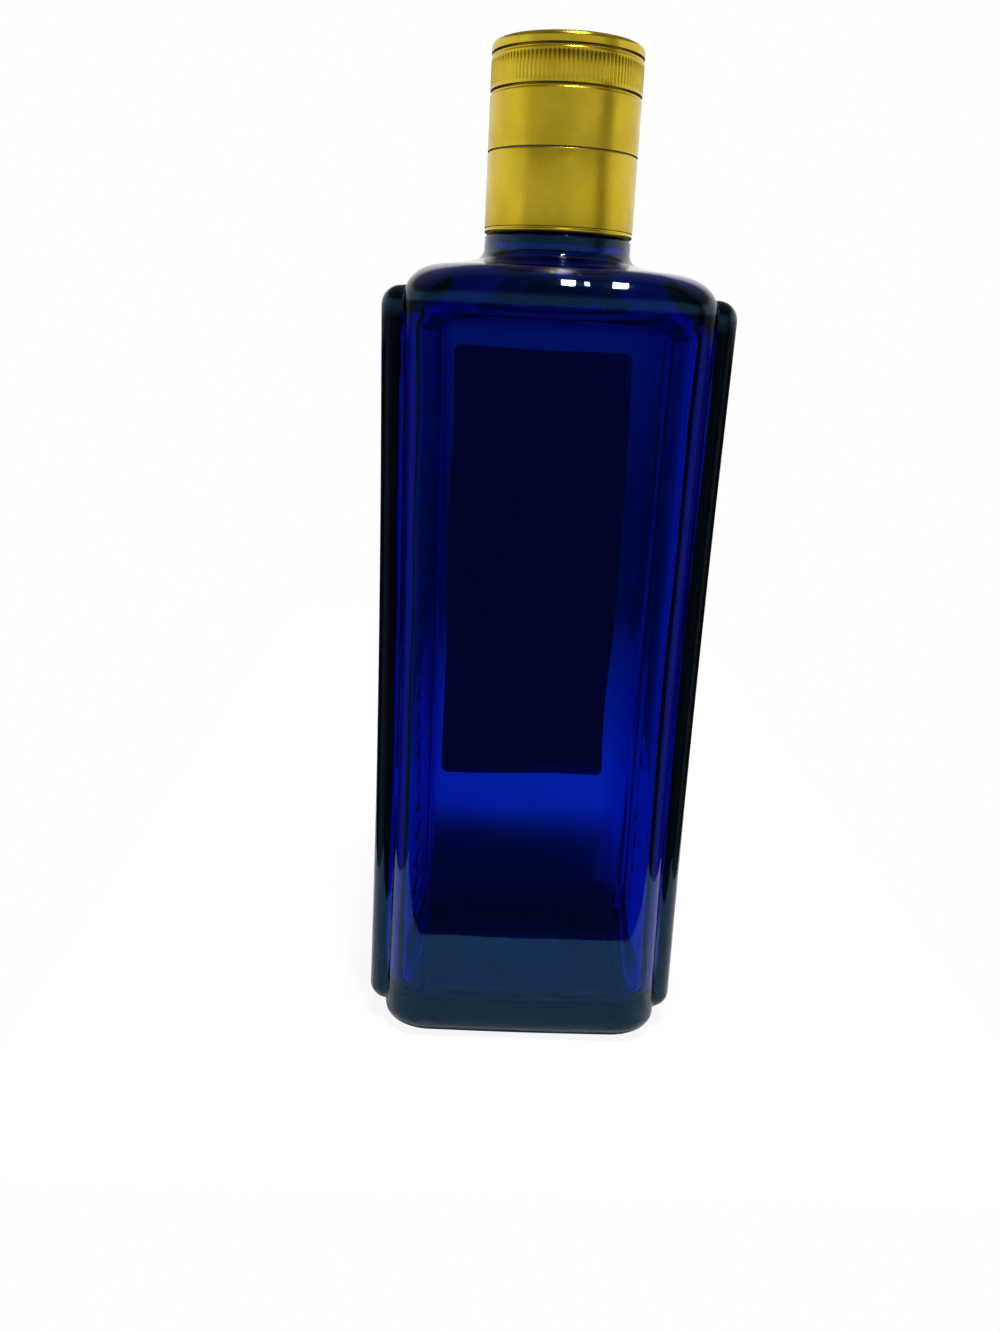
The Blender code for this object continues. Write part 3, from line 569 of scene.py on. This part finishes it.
def outer_levels():
    """Levels of the outside, from the middle of the base up to the lip."""
    heel_centre = HALF_WIDTH - HEEL_RADIUS
    levels = [ring(PUSH_UP_RADIUS * share, PUSH_UP_HEIGHT) for share in (1 / 3, 2 / 3)]
    bearing = outer_level(heel_centre - BEARING_WIDTH, 0, HEEL_ROUNDNESS_SHARE)
    push_up = ring(PUSH_UP_RADIUS, PUSH_UP_HEIGHT)
    for step in range(PUSH_UP_STEPS + 1):
        share = step / PUSH_UP_STEPS
        height = PUSH_UP_HEIGHT * (1 - eased(share))
        level = [inner.lerp(outer, share) for inner, outer in zip(push_up, bearing)]
        levels.append([Vector((point.x, point.y, height)) for point in level])
    heel = [HEEL_RADIUS * (1 - cos(pi / 2 * step / HEEL_STEPS)) for step in range(HEEL_STEPS + 1)]
    roll = [WALL_TOP + SHOULDER_RADIUS * sin(ROLL_ANGLE * step / ROLL_STEPS) for step in range(1, ROLL_STEPS + 1)]
    before = -1.0
    for height in sorted(heel + wall_heights() + roll):
        if height - before < LEVEL_GAP / 2:
            continue
        before = height
        half = outer_half(height)
        if height <= WALL_TOP:
            roundness = HEEL_ROUNDNESS_SHARE * (HALF_WIDTH - half) / HEEL_RADIUS if height < HEEL_RADIUS else 0.0
            levels.append(outer_level(half, height, roundness))
        else:
            levels.append(shoulder_level(half, height))
    for step in range(1, SLOPE_STEPS + 1):
        half = ROLL_END + (FILLET_START - ROLL_END) * step / SLOPE_STEPS
        levels.append(shoulder_level(half, ROLL_END_Z + (ROLL_END - half) * tan(SHOULDER_SLOPE)))
    fillet = arc((FILLET_CENTRE, FILLET_TOP_Z), NECK_FILLET, -pi / 2 - SHOULDER_SLOPE, -pi, FILLET_STEPS)
    bead = LEDGE_Z + BEAD_START
    finish_line = fillet[1:]
    finish_line += arc((NECK_RADIUS - NECK_EDGE, LEDGE_Z - NECK_EDGE), NECK_EDGE, 0, pi / 2, EDGE_STEPS)
    finish_line += [(FINISH_RADIUS, LEDGE_Z), (FINISH_RADIUS, bead - BEAD_PROUD), (FINISH_RADIUS + BEAD_PROUD, bead)]
    finish_line += [
        (FINISH_RADIUS + BEAD_PROUD, bead + BEAD_HEIGHT),
        (FINISH_RADIUS, bead + BEAD_HEIGHT + BEAD_PROUD),
    ]
    finish_line += arc((FINISH_RADIUS - LIP_EDGE, LIP_Z - LIP_EDGE), LIP_EDGE, 0, pi / 2, EDGE_STEPS)
    return levels + [ring(radius, height) for radius, height in finish_line]


def ripple(point):
    """How strongly the blown inside of the glass waves at that place, from -1 to 1."""
    return noise.noise(point / RIPPLE_LENGTH)


def inner_heights(bottom):
    """Heights at which the cavity's walls are drawn, from the top down, closest at the ends of the hollows."""
    quarter = [1 - cos(pi / 2 * step / HOLLOW_END_STEPS) for step in range(HOLLOW_END_STEPS + 1)]
    step_count = round((INNER_WALL_TOP - bottom) / WALL_SPACING)
    heights = [bottom + (INNER_WALL_TOP - bottom) * step / step_count for step in range(step_count)]
    heights += [HOLLOW_START + HOLLOW_EDGE * share for share in quarter] + [HOLLOW_START - LEVEL_GAP]
    heights += [HOLLOW_TOP - HOLLOW_EDGE * share for share in quarter] + [HOLLOW_TOP + LEVEL_GAP]
    chosen = []
    for height in sorted(heights, reverse=True):
        if bottom < height < INNER_WALL_TOP and (not chosen or chosen[-1] - height > LEVEL_GAP / 2):
            chosen.append(height)
    return chosen


def inner_level(half, height, roundness=0.0, corner=INNER_CORNER):
    """A level of the cavity, grown by the hollows behind the panels where they are."""
    hollow = hollow_at(height)
    points = []
    for turn in DIRECTIONS:
        radius = (1 - roundness) * reach(turn, half, half, corner) + roundness * half
        radius = blended(radius, hollow, turn, HOLLOW_FILLET)
        point = Vector((radius * cos(turn), radius * sin(turn), height))
        points.append(point - RIPPLE_HEIGHT * ripple(point) * Vector((cos(turn), sin(turn), 0)))
    return points


def inner_levels():
    """Levels of the cavity, from the lip down to its floor."""
    line = arc((BORE_RADIUS + LIP_EDGE, LIP_Z - LIP_EDGE), LIP_EDGE, pi / 2, pi, EDGE_STEPS)
    line += [(BORE_RADIUS, BORE_END_Z), (INNER_NECK_RADIUS, BORE_END_Z - BORE_TAPER)]
    levels = [ring(radius, height) for radius, height in line]
    roll_centre = (INNER_HALF - INNER_SHOULDER_RADIUS, INNER_WALL_TOP)
    roll = arc(roll_centre, INNER_SHOULDER_RADIUS, ROLL_ANGLE, 0, ROLL_STEPS)
    roll_end, roll_end_z = roll[0]
    slope = []
    for step in range(SLOPE_STEPS):
        half = INNER_NECK_RADIUS + (roll_end - INNER_NECK_RADIUS) * step / SLOPE_STEPS
        slope.append((half, roll_end_z + (roll_end - half) * tan(SHOULDER_SLOPE)))
    for half, height in slope + roll:
        share = (INNER_HALF - half) / (INNER_HALF - INNER_NECK_RADIUS)
        corner = INNER_CORNER + CORNER_GROWTH_SHARE * (INNER_HALF - half)
        levels.append(inner_level(half - waist_at(height), height, share**SHOULDER_POWER, corner))
    heel_top = BASE_THICKNESS + INNER_HEEL_RADIUS
    for height in inner_heights(heel_top):
        levels.append(inner_level(INNER_HALF - waist_at(height), height))
    floor_half = INNER_HALF - INNER_HEEL_RADIUS
    for half, height in arc((floor_half, heel_top), INNER_HEEL_RADIUS, 0, -pi / 2, HEEL_STEPS):
        levels.append(inner_level(half - waist_at(height), height))
    for share in (2 / 3, 1 / 3):
        levels.append(inner_level(floor_half * share, BASE_THICKNESS, corner=INNER_CORNER * share))
    return levels


def bottle_glass(material):
    """The moulded bottle: one ring of points drawn up the outside, over the lip and down the inside."""
    levels = outer_levels() + inner_levels()
    bm = bmesh.new()
    places = bm.verts.layers.int.new("place")
    for place, vert in enumerate(bmesh.ops.create_circle(bm, segments=len(DIRECTIONS), radius=1)["verts"]):
        vert[places] = place
        vert.co = levels[0][place]
    rim = bm.edges[:]
    bmesh.ops.edgeloop_fill(bm, edges=rim)
    for level in levels[1:]:
        drawn = bmesh.ops.extrude_edge_only(bm, edges=rim)["geom"]
        raised = {item for item in drawn if isinstance(item, bmesh.types.BMVert)}
        rim = [item for item in drawn if isinstance(item, bmesh.types.BMEdge) and raised.issuperset(item.verts)]
        for vert in raised:
            vert.co = level[vert[places]]
    bmesh.ops.edgeloop_fill(bm, edges=rim)
    piece("bottle_glass", bm, material, "bottle", "glass_bottle")


def turned(profile, steps=TURNED_STEPS, closed=True):
    """A turned shape: its profile of (radius, height) points spun about the axis."""
    bm = bmesh.new()
    points = [bm.verts.new((radius, 0, height)) for radius, height in profile]
    edges = [bm.edges.new(pair) for pair in zip(points, points[1:])]
    if closed:
        edges.append(bm.edges.new((points[-1], points[0])))
    bmesh.ops.spin(
        bm, geom=points + edges, cent=(0, 0, 0), axis=(0, 0, 1), angle=2 * pi, steps=steps, use_merge=True
    )
    bmesh.ops.remove_doubles(bm, verts=bm.verts, dist=MERGE_DISTANCE)
    return bm


def gold_sleeve(material):
    """The fixed lower skirt of the closure, with a bead rolled round its lower edge."""
    low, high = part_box("lower_sleeve")
    radius, bottom, top = high.x, low.z, high.z
    bore = radius - SHEET
    drawn_in = radius - GROOVE_DEPTH / 2
    profile = [(drawn_in, top), (radius, top - GROOVE_DEPTH)]
    profile.append((radius, bottom + ROLLED_NECK_END_SHARE * ROLLED_EDGE))
    profile.append((drawn_in, bottom + ROLLED_NECK_START_SHARE * ROLLED_EDGE))
    profile += arc((radius - ROLLED_EDGE, bottom + ROLLED_EDGE), ROLLED_EDGE, pi / 4, -pi / 2, EDGE_STEPS)
    profile += [
        (bore - CURL_REACH, bottom),
        (bore - CURL_REACH, bottom + SHEET),
        (bore, bottom + SHEET),
        (bore, top),
    ]
    piece("gold_sleeve", turned(profile), material, "bottle", "lower_sleeve")


def groove(radius, height):
    """A rolled groove in the outside of the cap, from its upper edge down."""
    half = GROOVE_WIDTH / 2
    flank = radius - GROOVE_DEPTH * GROOVE_FLANK_DEPTH_SHARE
    rise = half * GROOVE_FLANK_WIDTH_SHARE
    return [
        (radius, height + half),
        (flank, height + rise),
        (radius - GROOVE_DEPTH, height),
        (flank, height - rise),
        (radius, height - half),
    ]


def gold_cap(material):
    """The gold shell of the screw cap: a pressed ring on top, and a knurled grip band between two rolled grooves."""
    low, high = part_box("cap_shell")
    radius, bottom, top = high.x, low.z, high.z
    bore = radius - SHEET
    upper = top - GROOVE_DROP
    lower = upper - KNURL_HEIGHT
    band_top, band_bottom = upper - GROOVE_WIDTH, lower + GROOVE_WIDTH
    profile = [
        (0, top),
        (TOP_RING_RADIUS - TOP_RING_WIDTH, top),
        (TOP_RING_RADIUS - TOP_RING_WIDTH / 2, top - TOP_RING_DEPTH),
        (TOP_RING_RADIUS, top),
    ]
    profile += arc((radius - CAP_EDGE, top - CAP_EDGE), CAP_EDGE, pi / 2, 0, EDGE_STEPS)
    profile += groove(radius, upper)
    profile += [(radius, band_top), (radius, band_top - GROOVE_DEPTH)]
    profile += [(radius, band_bottom + GROOVE_DEPTH), (radius, band_bottom)]
    profile += groove(radius, lower)
    profile += [(radius, bottom), (bore, bottom)]
    profile += [(bore, top - CAP_EDGE), (bore - CAP_EDGE, top - SHEET), (0, top - SHEET)]
    bm = turned(profile, steps=KNURL_COUNT * KNURL_STEPS, closed=False)
    for vert in bm.verts:
        across = vert.co.xy.length
        if band_bottom < vert.co.z < band_top and across > radius - GROOVE_DEPTH / 2:
            notch = (1 - cos(KNURL_COUNT * atan2(vert.co.y, vert.co.x))) / 2
            vert.co.xy *= 1 - KNURL_DEPTH * notch / across
    piece("gold_cap", bm, material, "cap", "cap_shell")


def rectangle(width, length):
    """A flat rectangle about the origin."""
    bm = bmesh.new()
    bmesh.ops.create_grid(bm, x_segments=1, y_segments=1, size=0.5)
    bmesh.ops.scale(bm, vec=(width, length, 1), verts=bm.verts)
    return bm


def label_sheet():
    """The label on the far wall: a paper sheet with rounded corners that follows the waist of the glass."""
    low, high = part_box("front_label")
    half_width, centre_z, half_height = high.x, (low.z + high.z) / 2, (high.z - low.z) / 2
    bm = rectangle(2 * half_width, 2 * half_height)
    bmesh.ops.bevel(
        bm, geom=bm.verts[:], offset=LABEL_CORNER, segments=EDGE_STEPS, profile=0.5, affect="VERTICES", material=-1
    )
    for row in range(1, LABEL_ROWS):
        cut = -half_height + 2 * half_height * row / LABEL_ROWS
        geometry = bm.verts[:] + bm.edges[:] + bm.faces[:]
        bmesh.ops.bisect_plane(bm, geom=geometry, plane_co=(0, cut, 0), plane_no=(0, 1, 0))
    bmesh.ops.rotate(bm, cent=(0, 0, 0), matrix=Matrix.Rotation(pi / 2, 3, "X"), verts=bm.verts)
    bmesh.ops.translate(bm, vec=(0, 0, centre_z), verts=bm.verts)
    for vert in bm.verts:
        vert.co.y = HALF_WIDTH - waist_at(vert.co.z) + LABEL_GAP
    outside = bmesh.ops.extrude_face_region(bm, geom=bm.faces[:])["geom"]
    lifted = [item for item in outside if isinstance(item, bmesh.types.BMVert)]
    bmesh.ops.translate(bm, vec=(0, LABEL_THICKNESS, 0), verts=lifted)
    material = label_stock(centre_z, half_width, half_height)
    piece("label_sheet", bm, material, "bottle", "front_label")


def dress(name, material):
    """Gives a CAD node that keeps its shape its finish."""
    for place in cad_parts[name].material_slots:
        place.material = material


def studio():
    """The room: white to the camera and dim through the glass; the gloss shows its walls, dark low down in front."""
    world = bpy.data.worlds.new("studio")
    bpy.context.scene.world = world
    world.use_nodes = True
    tree = world.node_tree
    tree.nodes.clear()
    path = node(tree, "ShaderNodeLightPath", {}).outputs
    direction = node(tree, "ShaderNodeTexCoord", {}).outputs["Generated"]
    east, north, up = node(tree, "ShaderNodeSeparateXYZ", {"Vector": direction}).outputs
    south = node(tree, "ShaderNodeMath", {0: north, 1: -1.0}, operation="MULTIPLY")
    bearing = node(tree, "ShaderNodeMath", {0: east, 1: south}, operation="ARCTAN2")
    turn = node(
        tree, "ShaderNodeMapRange", {"Value": bearing, "From Min": -pi, "From Max": pi, "To Min": 0.0, "To Max": 1.0}
    )
    walls = node(tree, "ShaderNodeValToRGB", {"Fac": turn})
    walls.color_ramp.interpolation = "EASE"
    stops = walls.color_ramp.elements
    stops.remove(stops[1])
    for degrees, level in WALL_LEVELS:
        share = (degrees + 180) / 360
        stop = stops.new(share) if share else stops[0]
        stop.color = (level, level, level, 1)

    sideways = node(tree, "ShaderNodeMath", {0: east}, operation="ABSOLUTE")
    side = node(tree, "ShaderNodeMapRange", {"Value": sideways, **SIDE_LIGHT})
    ahead = node(tree, "ShaderNodeMapRange", {"Value": north, **FRONT_SHARE})
    front = node(tree, "ShaderNodeMath", {0: side, 1: ahead}, operation="MULTIPLY")
    low_front = node(tree, "ShaderNodeMapRange", {"Value": up, "To Min": front, **LOW_FRONT})
    # Low down behind, only mirror-like reflections are dark, so that the table and the label keep their light
    matt_ray = node(tree, "ShaderNodeMath", {0: 1.0, 1: path["Is Glossy Ray"]}, operation="SUBTRACT")
    low_back = node(tree, "ShaderNodeMapRange", {"Value": up, "To Min": matt_ray, **LOW_BACK})
    behind = node(tree, "ShaderNodeMapRange", {"Value": north, **BACK_LIGHT})
    back = node(tree, "ShaderNodeMath", {0: behind, 1: low_back}, operation="MULTIPLY")
    clear = node(tree, "ShaderNodeMath", {0: back, 1: low_front}, operation="MAXIMUM")
    ceiling = node(tree, "ShaderNodeMapRange", {"Value": up, **CEILING_SHARE})
    dimmed = node(tree, "ShaderNodeMath", {0: clear, 1: ceiling}, operation="MULTIPLY")
    room = node(tree, "ShaderNodeBackground", {"Color": walls, "Strength": dimmed})

    far = node(tree, "ShaderNodeMapRange", {"Value": up, **FAR_LIGHT})
    beside = node(tree, "ShaderNodeMapRange", {"Value": sideways, **FAR_SIDE_LIGHT})
    around = node(tree, "ShaderNodeMath", {0: far, 1: beside}, operation="MAXIMUM")
    through = node(tree, "ShaderNodeMath", {0: path["Is Transmission Ray"], 1: around}, operation="MULTIPLY")
    seen = node(tree, "ShaderNodeMath", {0: path["Is Camera Ray"], 1: through}, operation="MAXIMUM")
    white = node(tree, "ShaderNodeBackground", {"Color": colour("#FFFFFF"), "Strength": seen})
    open_view = node(
        tree, "ShaderNodeMath", {0: path["Is Camera Ray"], 1: path["Is Transmission Ray"]}, operation="MAXIMUM"
    )
    shown = node(tree, "ShaderNodeMixShader", {"Fac": open_view, 1: room, 2: white})
    node(tree, "ShaderNodeOutputWorld", {"Surface": shown})


def floor():
    """A table top, nearly white to the camera, with the bottle's shadow painted into its colour as a darker field, that
    fades out far behind.
    """
    material, tree, place = blank("white_table")
    east, north, _ = node(tree, "ShaderNodeSeparateXYZ", {"Vector": place}).outputs
    # Painted shadow: the table's colour is darker in a field just behind the bottle, where the bottle's shadow falls
    across = node(tree, "ShaderNodeMath", {0: east}, operation="ABSOLUTE")
    offset = node(tree, "ShaderNodeMath", {0: north, 1: SHADOW_CENTRE}, operation="SUBTRACT")
    along = node(tree, "ShaderNodeMath", {0: offset}, operation="ABSOLUTE")
    aside = node(tree, "ShaderNodeMapRange", {"Value": across, **SHADOW_ACROSS}, interpolation_type="SMOOTHSTEP")
    away = node(tree, "ShaderNodeMapRange", {"Value": along, **SHADOW_ALONG}, interpolation_type="SMOOTHSTEP")
    painted_shadow_tone = node(tree, "ShaderNodeMath", {0: aside, 1: away}, operation="MAXIMUM")
    matt = node(tree, "ShaderNodeBsdfDiffuse", {"Color": painted_shadow_tone})
    white = node(tree, "ShaderNodeEmission", {"Color": colour("#FFFFFF"), "Strength": TABLE_WHITE})
    seen = node(tree, "ShaderNodeLightPath", {}).outputs["Is Camera Ray"]
    share = node(tree, "ShaderNodeMath", {0: seen, 1: TABLE_WHITE_SHARE}, operation="MULTIPLY")
    table = node(tree, "ShaderNodeMixShader", {"Fac": share, 1: matt, 2: white})
    fade = node(tree, "ShaderNodeMapRange", {"Value": north, **TABLE_FADE})
    gone = node(tree, "ShaderNodeBsdfTransparent", {})
    shown = node(tree, "ShaderNodeMixShader", {"Fac": fade, 1: table, 2: gone})
    node(tree, "ShaderNodeOutputMaterial", {"Surface": shown})
    bm = rectangle(2 * TABLE_HALF_WIDTH, TABLE_BACK - TABLE_FRONT)
    bmesh.ops.translate(bm, vec=(0, (TABLE_FRONT + TABLE_BACK) / 2, 0), verts=bm.verts)
    added("floor", bm, material)


def lamp(name, place, width, depth, power, mirrored):
    """A rectangular lamp, square to the front, that isn't seen through glass, nor in gloss unless it is mirrored."""
    light = bpy.data.lights.new(name, "AREA")
    light.shape = "RECTANGLE"
    light.size = width
    light.size_y = depth
    light.energy = power
    made = bpy.data.objects.new(name, light)
    made.location = place
    down = Vector((0, -place[1], LAMP_TARGET_Z - place[2]))
    made.rotation_euler = down.to_track_quat("-Z", "Y").to_euler()
    made.visible_glossy = mirrored
    made.visible_transmission = False
    bpy.context.scene.collection.objects.link(made)


def camera():
    """The camera at the photograph's viewing place."""
    lens = bpy.data.cameras.new("camera")
    lens.lens = CAMERA_LENS
    lens.sensor_width = SENSOR_WIDTH
    lens.clip_start = NEAREST_SEEN
    made = bpy.data.objects.new("camera", lens)
    turn = Matrix.Rotation(CAMERA_YAW, 4, "Z") @ Matrix.Rotation(pi / 2 - CAMERA_PITCH, 4, "X")
    made.matrix_world = Matrix.Translation(CAMERA_PLACE) @ turn @ Matrix.Rotation(CAMERA_ROLL, 4, "Z")
    bpy.context.scene.collection.objects.link(made)
    bpy.context.scene.camera = made


camera()
studio()
floor()
for settings in LAMPS:
    lamp(*settings)

gold = gold_lacquer()
natural = moulded_plastic("natural_polyethylene", "#DDDDD6", low=0.35, high=0.5)
white_plastic = moulded_plastic("white_polyethylene", "#EFEDE6", low=0.3, high=0.42)
wad = foam()

bottle_glass(cobalt_glass())
label_sheet()
gold_sleeve(gold)
gold_cap(gold)
for name in ("pourer_body", "pour_spout", "valve_housing"):
    dress(name, natural)
for name in ("cap_insert", "valve_disc"):
    dress(name, white_plastic)
for name in ("cap_liner", "mouth_gasket"):
    dress(name, wad)
dress("valve_ball", clear_glass())

bpy.context.scene.view_settings.view_transform = "Standard"
